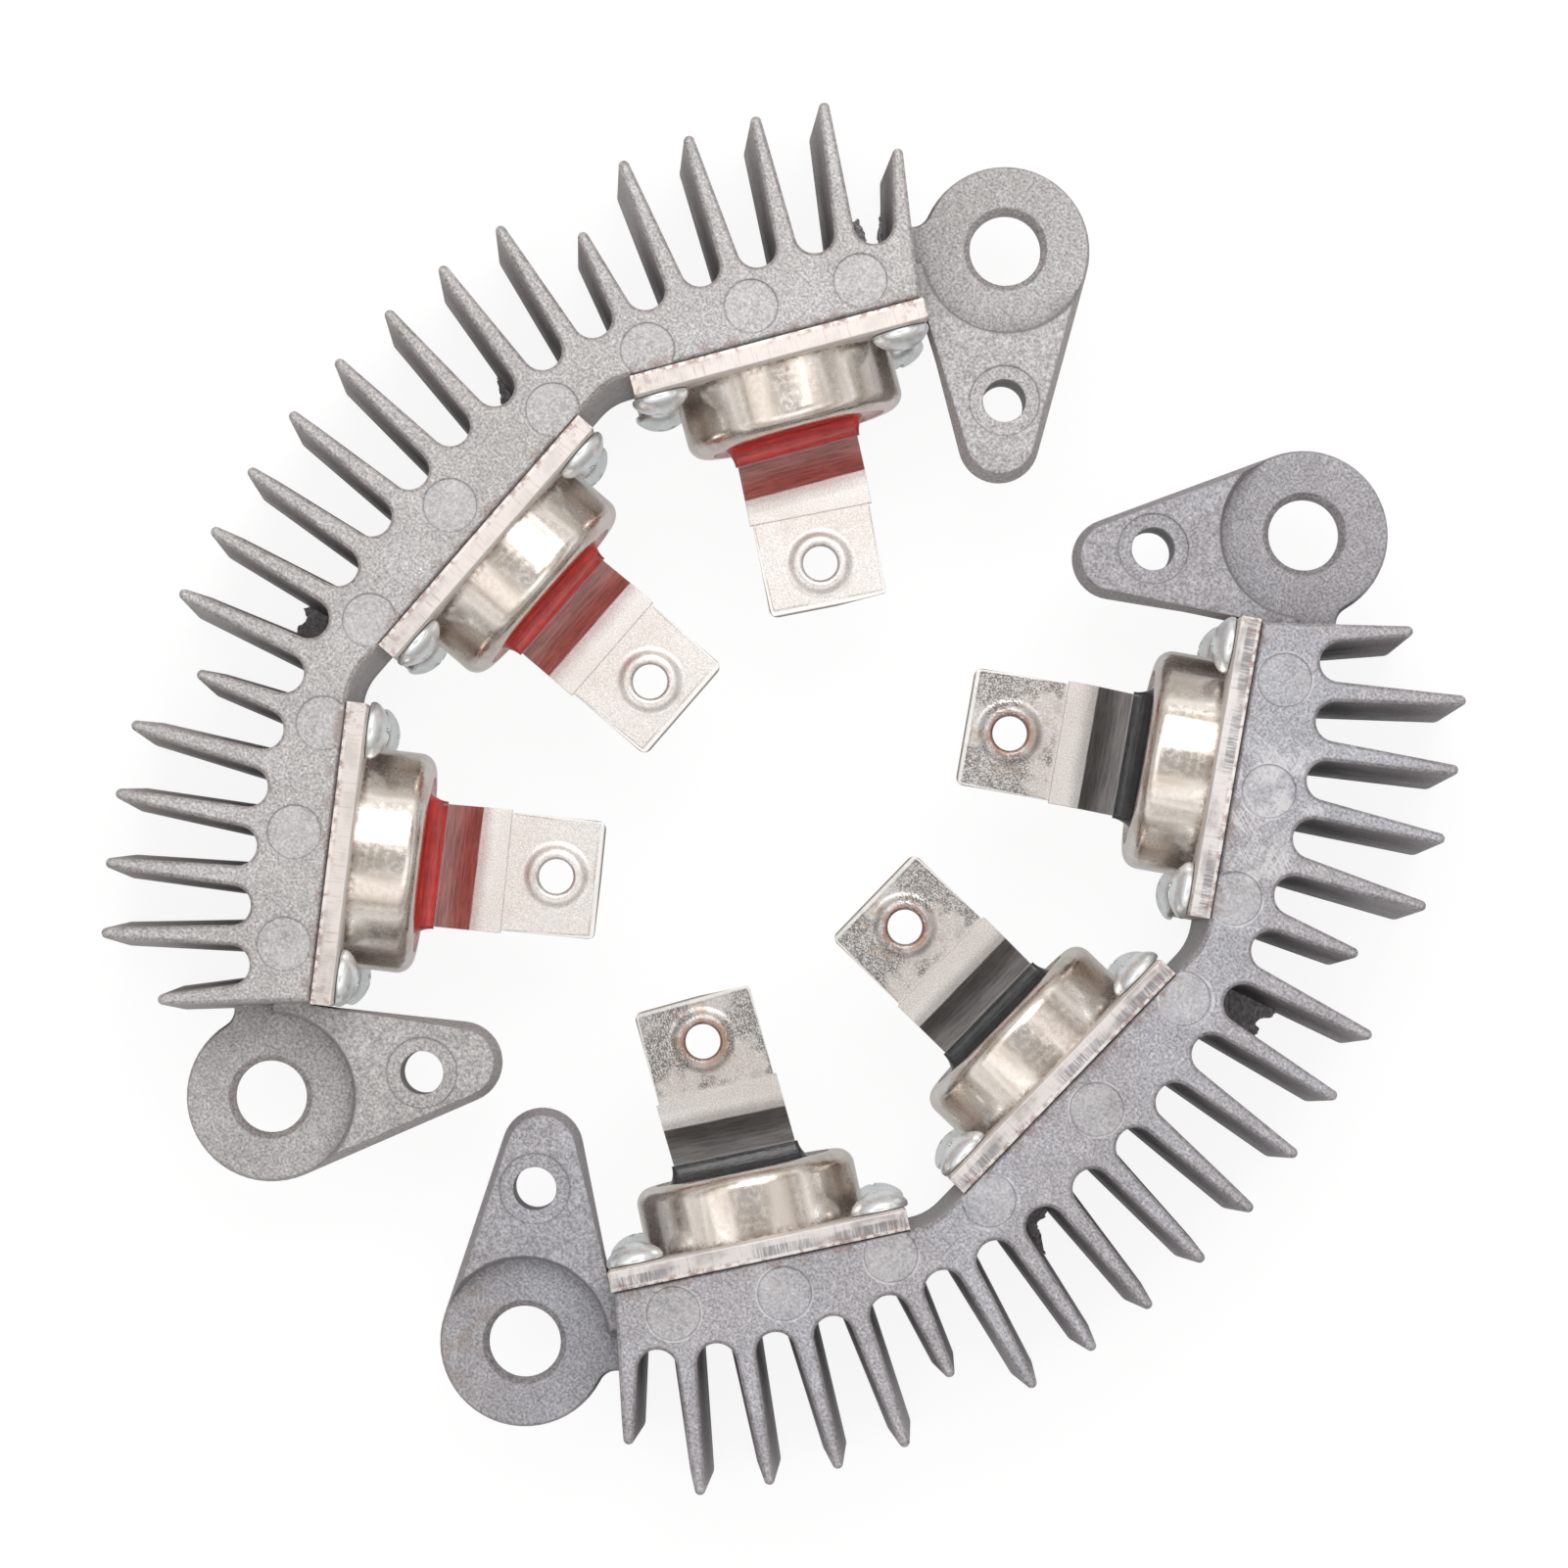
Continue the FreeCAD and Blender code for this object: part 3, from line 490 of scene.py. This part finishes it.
def strap_nickel(module):
    p = Paint(f"strap_nickel_{module.half}_{module.number}")
    where = p.module_place(module)
    x, y, _ = p.split(where)
    rounded = p.rounded(0.22)
    edge = p.edge(rounded)
    grain = p.noise(where, 4.5, 3.0, 0.7)
    cloud = p.noise(where, 0.12, 2.0, 0.5)
    colour = p.mix(p.ranged(cloud, 0.35, 0.68), (0.96, 0.92, 0.90), (0.86, 0.80, 0.76))
    colour = p.shade(colour, p.ranged(grain, 0.34, 0.66, 0.74, 1.06))
    # A darker brown ring round the hole, in patches.
    darker_ring = p.product(p.ranged(p.distance(where, module.hole()), HOLE_RADIUS + 3.4, HOLE_RADIUS + 1.4),
                     p.ranged(p.noise(where, 0.5, 3.0, 0.6), 0.5, 0.68))
    colour = p.mix(p.math("MULTIPLY", darker_ring, 0.4), colour, (0.46, 0.38, 0.32))
    if module.half == "negative":
        colour = dark_reflection_and_stains(p, module, where, x, p.shade(colour, 0.84))
    inward = rim_distance(p, module, x, y)
    line = p.product(p.ranged(inward, 0.75, 0.95), p.ranged(inward, 1.3, 1.0))
    colour = p.shade(colour, p.ranged(p.product(line, p.ranged(cloud, 0.3, 0.55)), 0.0, 1.0, 1.0, 0.72))
    # Painted highlight: a bright band along the strap's end and sides, on the bevel.
    colour = p.mix(p.ranged(inward, 0.85, 0.65, 0.0, 0.7), colour, (1.0, 0.98, 0.96))
    # Painted reflection of the potting on the strap's slope, with a wavering end.
    drawn = p.noise(p.scaled(where, 2.6, 0.22, 0.5), 1.0, 4.0, 0.7)
    reach = p.math("ADD", x, p.ranged(drawn, 0.3, 0.7, -0.08, 0.08))
    reflected_slope = p.ranged(reach, REFLECTION_END + 0.1, REFLECTION_END - 0.1)
    colour = p.mix(reflected_slope, colour, potting_reflection(p, module, x, drawn))
    # Painted highlight along the edges near the rim.
    colour = p.mix(p.product(edge, p.ranged(inward, 0.5, 0.8), 0.6), colour, (0.97, 0.95, 0.93))
    # Painted shade: a thin dark outline at the strap's edge.
    colour = p.mix(p.ranged(inward, 0.36, 0.14, 0.0, 0.85), colour, (0.20, 0.16, 0.14))
    # Painted shade on the steep faces and the side walls.
    colour = p.mix(p.product(p.facing_up(0.5, 0.2), 0.7), colour, (0.22, 0.18, 0.16))
    normal = p.bump(grain, 0.35, 0.06, rounded)
    matt = p.product(p.ranged(x, REFLECTION_END - 0.1, REFLECTION_END + 0.2), p.ranged(x, BEND_END + 0.5, BEND_END - 0.5))
    dull_slope = p.product(reflected_slope, p.ranged(x, REFLECTION_START, REFLECTION_START + 3.5, 0.65, 0.2))
    metal = p.math("SUBTRACT", p.ranged(matt, 0.0, 1.0, 0.9, 0.1), dull_slope)
    p.set(Base_Color=colour, Metallic=metal, Normal=normal)
    p.set(Roughness=p.math("ADD", p.ranged(cloud, 0.3, 0.7, 0.36, 0.46), p.math("MULTIPLY", matt, 0.2)))
    return p.material


def rim_distance(p, module, x, y):
    """How far inside the flat's end and sides a place lies, in millimetres of the rim at the end."""
    c, s = math.cos(module.swing), math.sin(module.swing)
    past_root = p.math("SUBTRACT", x, STRAP_ROOT)
    along = p.math("ADD", p.product(past_root, c), p.product(y, s))
    across = p.math("ABSOLUTE", p.math("SUBTRACT", p.product(y, c), p.product(past_root, s)))
    step, end = STRAP_STEP - STRAP_ROOT, STRAP_REACH - STRAP_ROOT
    half_width = p.ranged(along, step, end, STRAP_WIDTH / 2, STRAP_END_WIDTH / 2, smooth=False)
    to_end = p.math("SUBTRACT", end, along)
    to_side = p.product(p.math("SUBTRACT", half_width, across), STRAP_SIDE_TIGHTER)
    to_side = p.math("ADD", to_side, p.ranged(along, step + 0.5, step, 0.0, 9.0))
    return p.math("SMOOTH_MIN", to_end, to_side, 0.6)


def potting_reflection(p, module, x, drawn):
    """Painted reflection of the potting on the strap's slope, as a base colour that is darkest where it ends.
    """
    near, far = ((0.57, 0.41, 0.39), (0.58, 0.26, 0.23)) if module.half == "positive" else (
        (0.48, 0.45, 0.44), (0.26, 0.235, 0.225))
    film = p.mix(p.ranged(x, REFLECTION_START, REFLECTION_START + 3.5), near, far)
    return p.shade(film, p.ranged(drawn, 0.34, 0.66, 0.74, 1.22))


def dark_reflection_and_stains(p, module, where, x, colour):
    """Painted dark reflection in patches on the outer end, with bright specks between them, and copper and
    rust stains round the hole.
    """
    radius = p.distance(where, module.hole())
    speck = p.noise(p.scaled(where, 1.0, 1.5, 1.0), 3.4, 3.0, 0.75)
    dark_patch_share = p.ranged(p.noise(where, 0.2, 2.0, 0.5), 0.38, 0.54, 0.2, 1.0)
    outer = p.ranged(x, STRAP_STEP + 0.1, STRAP_STEP + 0.8)
    # Painted reflection: dark patches on the outer end, with bright specks where they break.
    dark = p.product(outer, dark_patch_share, p.ranged(speck, 0.56, 0.47))
    colour = p.mix(p.math("MULTIPLY", dark, 0.95), colour, (0.19, 0.18, 0.175))
    rim = p.ranged(radius, HOLE_RADIUS + 0.3, HOLE_RADIUS + 1.6, 1.0, 0.0)
    patchy = p.noise(where, 0.5, 4.0, 0.7)
    rim = p.product(rim, p.ranged(patchy, 0.36, 0.55), 0.75)
    colour = p.mix(rim, colour, (0.38, 0.19, 0.14))
    halo = p.product(p.ranged(radius, 4.0, 8.0, 1.0, 0.0), p.ranged(patchy, 0.52, 0.66), 0.55)
    return p.mix(halo, colour, (0.46, 0.33, 0.23))


def screw_zinc():
    p = Paint("screw_zinc")
    where = p.row_place()
    cloud = p.noise(where, 500, 3.0, 0.6)
    colour = p.mix(p.ranged(cloud, 0.35, 0.65), (0.97, 1.0, 1.0), (0.86, 0.90, 0.92))
    rounded = p.rounded(0.15)
    colour = p.mix(p.product(p.edge(rounded), p.ranged(cloud, 0.4, 0.55), 0.5), colour, (0.93, 0.92, 0.88))
    # Painted shade in corners, such as under the head.
    colour = p.shade(colour, p.ranged(p.corner_shade(1.2), 0.1, 0.6, 0.5, 1.0))
    normal = p.bump(cloud, 0.15, 0.05, rounded)
    p.set(Base_Color=colour, Metallic=0.75, Roughness=p.ranged(cloud, 0.3, 0.7, 0.24, 0.34), Normal=normal)
    return p.material


def potting(module):
    p = Paint(f"potting_{module.half}_{module.number}")
    where = p.module_place(module)
    streaks = p.noise(p.scaled(where, 2.2, 0.12, 1.4), 1.0, 3.0, 0.6)
    cloud = p.noise(where, 0.35, 3.0, 0.5)
    if module.half == "positive":
        colour = p.mix(p.ranged(cloud, 0.3, 0.7), (0.44, 0.014, 0.010), (0.56, 0.035, 0.024))
        colour = p.shade(colour, p.ranged(streaks, 0.35, 0.65, 0.75, 1.25))
    else:
        colour = p.mix(p.ranged(cloud, 0.3, 0.7), (0.012, 0.012, 0.014), (0.03, 0.03, 0.033))
    normal = p.bump(streaks, 0.6, 0.35, p.rounded(0.4))
    p.set(Base_Color=colour, Roughness=p.ranged(cloud, 0.3, 0.7, 0.1, 0.18), Normal=normal)
    p.set(Coat_Weight=0.6, Coat_Roughness=0.06, IOR=1.53)
    return p.material


def silicon():
    p = Paint("silicon")
    cloud = p.noise(p.row_place(), 900, 2.0, 0.5)
    p.set(Base_Color=p.mix(cloud, (0.12, 0.12, 0.14), (0.2, 0.2, 0.23)), Metallic=0.7, Roughness=0.25)
    return p.material


def flash_grey():
    """The rough skin of thin casting flash, with bright flecks, in a colour far lighter than the casting's as
    painted light deep in the slots.
    """
    p = Paint("flash_grey")
    where = p.row_place()
    grain = p.noise(where, 2200, 4.0, 0.75)
    flecks = p.ranged(p.noise(where, 1300, 3.0, 0.7), 0.62, 0.68)
    # Painted light: far lighter than the casting, to make up for the little light that reaches deep in the
    # slots.
    colour = p.mix(p.ranged(grain, 0.36, 0.62), (0.66, 0.64, 0.66), (1.0, 0.98, 1.0))
    colour = p.mix(flecks, colour, (1.0, 1.0, 1.0))
    p.set(Base_Color=colour, Metallic=0.2, Roughness=0.6, Normal=p.bump(grain, 0.7, 0.3))
    return p.material


# Meshes

def piece(name, mesh, material, smooth=True):
    made = bpy.data.objects.new(name, mesh)
    bpy.context.scene.collection.objects.link(made)
    mesh.materials.clear()
    mesh.materials.append(material)
    if smooth:
        for polygon in mesh.polygons:
            polygon.use_smooth = True
    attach(made, "root")
    return made


def head_profile():
    """Half of the head's section, from the seat's middle to the top, as (along, radius) in millimetres."""
    dome = HEAD_HEIGHT - HEAD_RIM
    sphere = (dome * dome + HEAD_RADIUS * HEAD_RADIUS) / (2 * dome)
    reach = math.asin(HEAD_RADIUS / sphere)
    points = [(0.0, 0.0)] + [(x, HEAD_RADIUS - inside) for x, inside in HEAD_SEAT_ROUND]
    points += [(HEAD_RIM - HEAD_RIM_BEVEL, HEAD_RADIUS)]
    for step in range(1, HEAD_STEPS):
        turn = reach * (1 - step / HEAD_STEPS)
        points.append((HEAD_HEIGHT - sphere * (1 - math.cos(turn)), sphere * math.sin(turn)))
    return points + [(HEAD_HEIGHT, 0.0)]


def lathe(mesh, points, count):
    """Turns (along X, radius) points round X."""
    rings = []
    for x, radius in points:
        if radius < ON_AXIS:
            rings.append([mesh.verts.new((x, 0.0, 0.0))])
            continue
        turns = [2 * math.pi * k / count for k in range(count)]
        rings.append([mesh.verts.new((x, radius * math.cos(t), radius * math.sin(t))) for t in turns])
    for lower, upper in zip(rings, rings[1:]):
        for k in range(count):
            corners = [lower[k % len(lower)], lower[(k + 1) % len(lower)],
                       upper[(k + 1) % len(upper)], upper[k % len(upper)]]
            kept = list(dict.fromkeys(corners))
            if len(kept) > 2:
                mesh.faces.new(kept)


def recess_cutter():
    """A tapered cross that is cut into the top of the head."""
    mesh = bmesh.new()
    mouth = (HEAD_HEIGHT + RECESS_OVERRUN, RECESS_ARM, RECESS_WIDTH)
    foot = (HEAD_HEIGHT - RECESS_DEPTH, RECESS_FOOT_ARM, RECESS_FOOT_WIDTH)
    for turn in (0.0, math.pi / 2):
        corners = []
        for x, arm, width in (mouth, foot):
            for a, b in ((-1, -1), (1, -1), (1, 1), (-1, 1)):
                flat = Matrix.Rotation(turn, 3, "X") @ Vector((x, a * arm, b * width / 2))
                corners.append(mesh.verts.new(flat))
        mesh.faces.new(corners[3::-1])
        mesh.faces.new(corners[4:])
        for k in range(4):
            n = (k + 1) % 4
            mesh.faces.new((corners[k], corners[n], corners[4 + n], corners[4 + k]))
    bmesh.ops.recalc_face_normals(mesh, faces=mesh.faces)
    data = bpy.data.meshes.new("recess")
    mesh.to_mesh(data)
    mesh.free()
    return data


def screw_mesh():
    """One pan-head screw with its seat at the origin, head towards X, in millimetres."""
    mesh = bmesh.new()
    lathe(mesh, head_profile(), HEAD_SIDES)
    tip = -SHANK_LENGTH
    shank = [(tip, 0.0), (tip, SHANK_RADIUS - SHANK_CHAMFER), (tip + SHANK_CHAMFER, SHANK_RADIUS)]
    lathe(mesh, shank + [(0.0, SHANK_RADIUS), (0.0, 0.0)], SHANK_SIDES)
    bmesh.ops.recalc_face_normals(mesh, faces=mesh.faces)
    data = bpy.data.meshes.new("screw")
    mesh.to_mesh(data)
    mesh.free()
    body = bpy.data.objects.new("screw_blank", data)
    tool = bpy.data.objects.new("screw_recess", recess_cutter())
    for made in (body, tool):
        bpy.context.scene.collection.objects.link(made)
    cut = body.modifiers.new("recess", "BOOLEAN")
    cut.operation = "DIFFERENCE"
    cut.object = tool
    cut.solver = "EXACT"
    cut.use_self = True
    bpy.context.view_layer.update()
    result = bpy.data.meshes.new_from_object(body.evaluated_get(bpy.context.evaluated_depsgraph_get()))
    for made in (body, tool):
        bpy.data.objects.remove(made)
    return result


def islands(mesh):
    """The connected parts of a mesh, each as an array of its points."""
    parent = list(range(len(mesh.vertices)))

    def top(k):
        while parent[k] != k:
            parent[k] = parent[parent[k]]
            k = parent[k]
        return k

    spot = {}
    for v in mesh.vertices:
        key = tuple(round(c, 6) for c in v.co)
        parent[top(v.index)] = top(spot.setdefault(key, v.index))
    for edge in mesh.edges:
        parent[top(edge.vertices[0])] = top(edge.vertices[1])
    groups = {}
    for v in mesh.vertices:
        groups.setdefault(top(v.index), []).append(v.co)
    return [np.array(points) for points in groups.values()]


def module_screws(module, single, material):
    """Four screws in place of the CAD node, each turned differently about its axis."""
    chance = random.Random(f"{module.half}{module.number}")
    node = f"{module.half}_screws_{module.number}"
    joined = bmesh.new()
    for points in islands(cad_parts[node].data):
        middle = (points.min(0) + points.max(0)) / 2
        depth = (points - middle) @ np.array(module.out)
        seat = Vector(middle) + module.out * (float(depth.max()) - HEAD_HEIGHT * MM)
        spin = Matrix.Rotation(chance.uniform(0, math.pi / 2), 4, "X")
        facing = Matrix.Translation(seat) @ Matrix.Rotation(module.angle, 4, "Z")
        screw = single.copy()
        screw.transform(facing @ spin @ Matrix.Scale(MM, 4))
        joined.from_mesh(screw)
        bpy.data.meshes.remove(screw)
    mesh = bpy.data.meshes.new(f"detailed_{node}")
    joined.to_mesh(mesh)
    joined.free()
    made = piece(f"detailed_{node}", mesh, material)
    mesh.set_sharp_from_angle(angle=math.radians(SMOOTH_ANGLE))
    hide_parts(node)


def ragged(outline, chance):
    """The outline in short steps, each moved a little."""
    points = []
    for start, end in zip(outline, outline[1:] + outline[:1]):
        start, end = Vector(start), Vector(end)
        steps = max(1, round((end - start).length / FLASH_STEP))
        for k in range(steps):
            moved = Vector((chance.uniform(-1, 1), chance.uniform(-1, 1))) * FLASH_STEP * FLASH_RAGGED
            points.append(start.lerp(end, k / steps) + moved)
    return points


def flash_mesh(name, outline, height, chance):
    """An uneven web with a ragged rim, from an outline in millimetres. Its two sides lie in one place."""
    rim = ragged(outline, chance)
    low = [min(v[k] for v in rim) for k in range(2)]
    high = [max(v[k] for v in rim) for k in range(2)]
    inner = [Vector((chance.uniform(low[0], high[0]), chance.uniform(low[1], high[1])))
             for _ in range(FLASH_POINTS)]
    edges = [(k, (k + 1) % len(rim)) for k in range(len(rim))]
    flat, _, faces, _, _, _ = delaunay_2d_cdt(rim + inner, edges, [list(range(len(rim)))], 1, 1e-4)
    mesh = bmesh.new()
    top = [mesh.verts.new((v[0], v[1], height + chance.uniform(-FLASH_UNEVEN, FLASH_UNEVEN))) for v in flat]
    for face in faces:
        mesh.faces.new([top[k] for k in face])
    # The new faces have no normals here, so solidify adds the second side without any thickness.
    # After mesh.normal_update() it would give the web its thickness.
    bmesh.ops.solidify(mesh, geom=mesh.faces[:], thickness=FLASH_THICKNESS)
    bmesh.ops.recalc_face_normals(mesh, faces=mesh.faces)
    loose = [v for v in mesh.verts if not v.link_faces]
    bmesh.ops.delete(mesh, geom=loose, context="VERTS")
    mesh.transform(Matrix.Scale(MM, 4))
    data = bpy.data.meshes.new(name)
    mesh.to_mesh(data)
    mesh.free()
    return data


def casting_flash():
    """Webs of flash that were left between the fins."""
    material = flash_grey()
    chance = random.Random(FLASH_SEED)
    for number, (height, outline) in enumerate(FLASH, 1):
        name = f"casting_flash_{number}"
        mesh = flash_mesh(name, outline, height, chance)
        piece(name, mesh, material, smooth=False)


# Dressing the solids

def dress(node, material):
    """Gives a CAD node its material."""
    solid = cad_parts[node]
    solid.data.materials.clear()
    solid.data.materials.append(material)


def dress_everything():
    for half in HALVES:
        dress(f"{half}_heat_sink", cast_aluminium(half))
    chip = silicon()
    zinc = screw_zinc()
    single = screw_mesh()
    makers = {
        "base_plate": plate_nickel, "diode_can": can_nickel,
        "potting": potting, "terminal_strap": strap_nickel,
    }
    for (half, number), module in modules.items():
        for name, maker in makers.items():
            dress(f"{half}_{name}_{number}", maker(module))
        dress(f"{half}_diode_chip_{number}", chip)
        dress(f"{half}_screws_{number}", zinc)
        module_screws(module, single, zinc)


# Studio

def floor():
    """A plain floor that glows white to the camera, and less in reflections."""
    mesh = bpy.data.meshes.new("floor")
    corners = [(x * FLOOR_HALF_SIZE, y * FLOOR_HALF_SIZE, -FLOOR_DROP)
               for x, y in ((-1, -1), (1, -1), (1, 1), (-1, 1))]
    mesh.from_pydata(corners, [], [(0, 1, 2, 3)])
    made = bpy.data.objects.new("floor", mesh)
    bpy.context.scene.collection.objects.link(made)
    p = Paint("floor_white")
    p.set(Base_Color=FLOOR_COLOUR, Roughness=0.9)
    path = p.node("LightPath")
    mirrored = p.math("MAXIMUM", path.outputs["Is Glossy Ray"], path.outputs["Is Transmission Ray"])
    seen = p.math("MAXIMUM", path.outputs["Is Camera Ray"], mirrored)
    strength = p.ranged(path.outputs["Is Camera Ray"], 0.0, 1.0, FLOOR_GLOSS, FLOOR_WHITE)
    glow = p.node("Emission", {"Color": (1.0, 1.0, 1.0), "Strength": strength}).outputs[0]
    share = p.product(seen, 1.0 - FLOOR_SHADOW)
    mixed = p.node("MixShader", {0: share, 1: p.shader.outputs[0], 2: glow}).outputs[0]
    p.put(p.output.inputs["Surface"], mixed)
    mesh.materials.append(p.material)


def sky():
    """Rings of soft light in a dim studio, brightest round the zenith, and white to the camera."""
    world = bpy.data.worlds.new("studio")
    world.use_nodes = True
    bpy.context.scene.world = world
    n = Nodes(world.node_tree)
    place = n.node("TexCoord").outputs["Generated"]
    _, y, z = n.split(place)
    ramp = n.node("ValToRGB", {0: z})
    ramp.color_ramp.interpolation = "EASE"
    elements = ramp.color_ramp.elements
    while len(elements) < len(SKY_STOPS):
        elements.new(0.5)
    for element, (position, colour) in zip(elements, SKY_STOPS):
        element.position = position
        element.color = (*colour, 1.0)
    uneven = n.ranged(n.noise(place, 1.6, 1.0), 0.35, 0.65, 0.8, 1.2, smooth=False)
    sided = n.product(n.math("MULTIPLY_ADD", z, 2.0, -1.0), y)
    strength = n.product(uneven, n.ranged(sided, -0.7, 0.7, 0.5, 1.5, smooth=False))
    studio = n.node("Background", {"Color": ramp.outputs[0], "Strength": strength}).outputs[0]
    white = n.node("Background", {"Color": (1.0, 1.0, 1.0)}).outputs[0]
    seen = n.node("LightPath").outputs["Is Camera Ray"]
    mixed = n.node("MixShader", {0: seen, 1: studio, 2: white}).outputs[0]
    n.node("OutputWorld", {"Surface": mixed})


def soft_box(name, place, size, power):
    data = bpy.data.lights.new(name, "AREA")
    data.shape = "SQUARE"
    data.size = size
    data.energy = power
    made = bpy.data.objects.new(name, data)
    made.location = place
    made.rotation_euler = (-Vector(place)).to_track_quat("-Z", "Y").to_euler()
    bpy.context.scene.collection.objects.link(made)


def camera():
    forward = (AIM - EYE).normalized()
    turn = math.radians(IMAGE_UP_DEGREES)
    right = forward.cross(Vector((math.cos(turn), math.sin(turn), 0))).normalized()
    up = right.cross(forward)
    data = bpy.data.cameras.new("camera")
    data.lens = LENS
    data.sensor_width = SENSOR
    made = bpy.data.objects.new("camera", data)
    made.matrix_world = Matrix.Translation(EYE) @ Matrix((right, up, -forward)).transposed().to_4x4()
    bpy.context.scene.collection.objects.link(made)
    bpy.context.scene.camera = made


bpy.context.scene.view_settings.view_transform = "Standard"
dress_everything()
casting_flash()
floor()
sky()
soft_box("key", KEY_PLACE, KEY_SIZE, KEY_POWER)
camera()
